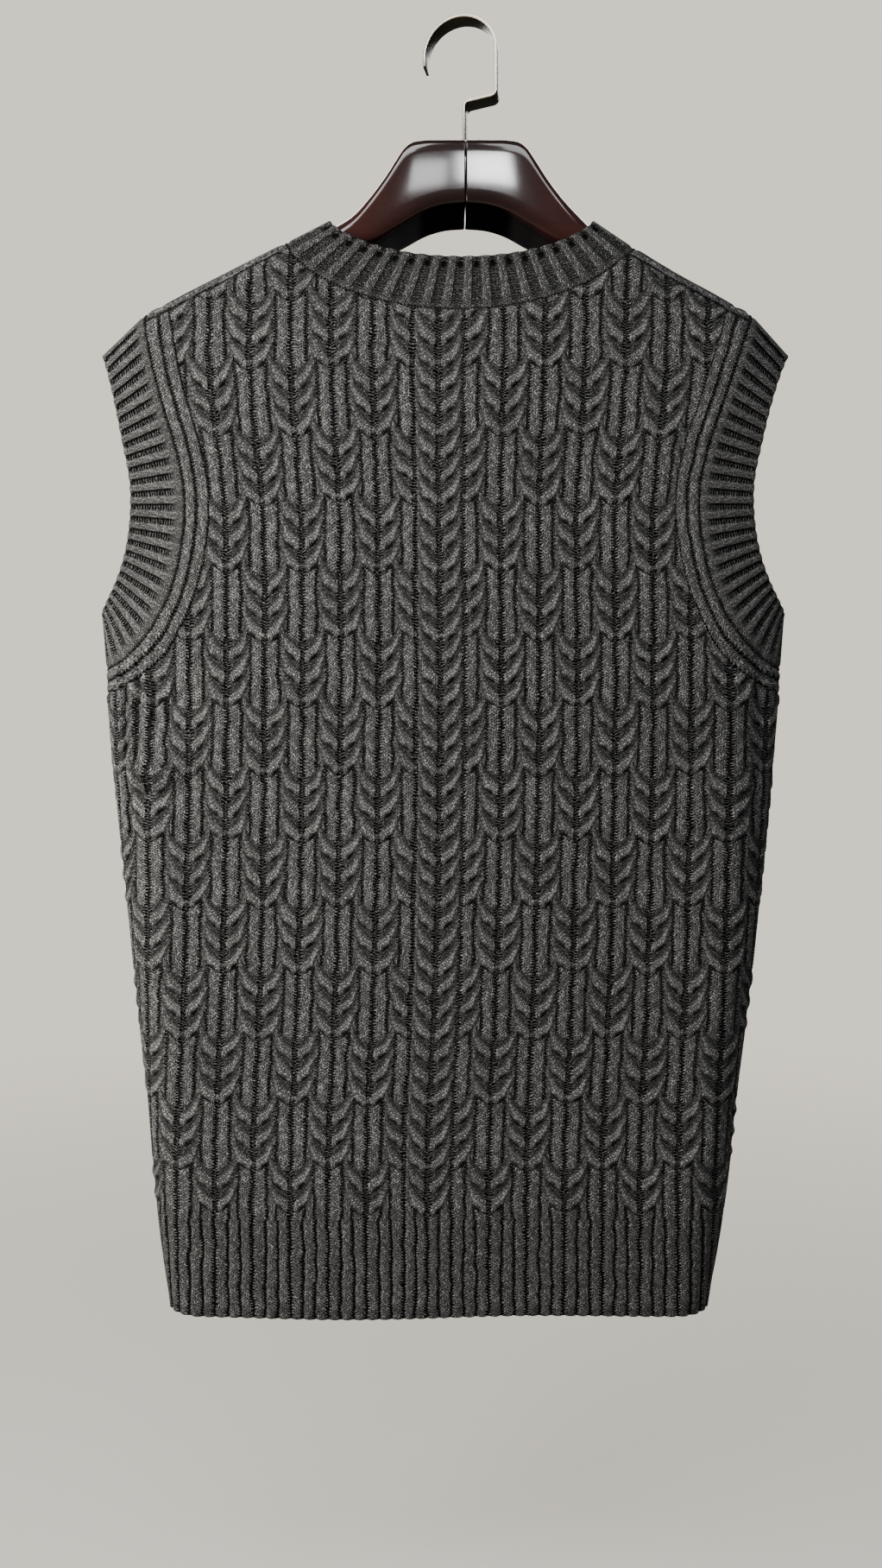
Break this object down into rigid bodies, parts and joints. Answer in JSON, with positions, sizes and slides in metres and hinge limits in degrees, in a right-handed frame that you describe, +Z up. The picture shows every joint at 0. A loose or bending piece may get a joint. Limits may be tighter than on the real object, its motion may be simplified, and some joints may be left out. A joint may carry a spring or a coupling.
{
  "type": "cable-knit sweater vest on a hanger",
  "caption": "Sleeveless knit vest with cable ladders and ribbed bands, hanging on a broad lacquered hanger with a strip hook.",
  "frame": {"origin": "underside of the hook's crown, where a rail or wall peg carries the hanger", "axes": "+Z up, +X to the right as seen facing the vest's back, -Y out of the vest's back"},
  "size_m": [0.4416, 0.0614, 0.8296],
  "materials": {
    "back_panel_knit": "heathered charcoal wool-blend cable knit",
    "front_panel_knit": "heathered charcoal wool-blend cable knit",
    "neck_band_knit": "heathered charcoal two-by-two rib",
    "armhole_band_left_knit": "heathered charcoal two-by-two rib",
    "armhole_band_right_knit": "heathered charcoal two-by-two rib",
    "hanger_lacquer_left": "dark mahogany under glossy lacquer",
    "hanger_lacquer_right": "dark mahogany under glossy lacquer",
    "hook_metal": "plated flat strip, bright edges"
  },
  "bodies": {
    "root": {"back_panel": "back_panel_knit", "front_panel": "front_panel_knit", "neck_band": "neck_band_knit", "armhole_band_left": "armhole_band_left_knit", "armhole_band_right": "armhole_band_right_knit", "hanger_left": "hanger_lacquer_left", "hanger_right": "hanger_lacquer_right", "hook_strip": "hook_metal"}
  },
  "joints": []
}
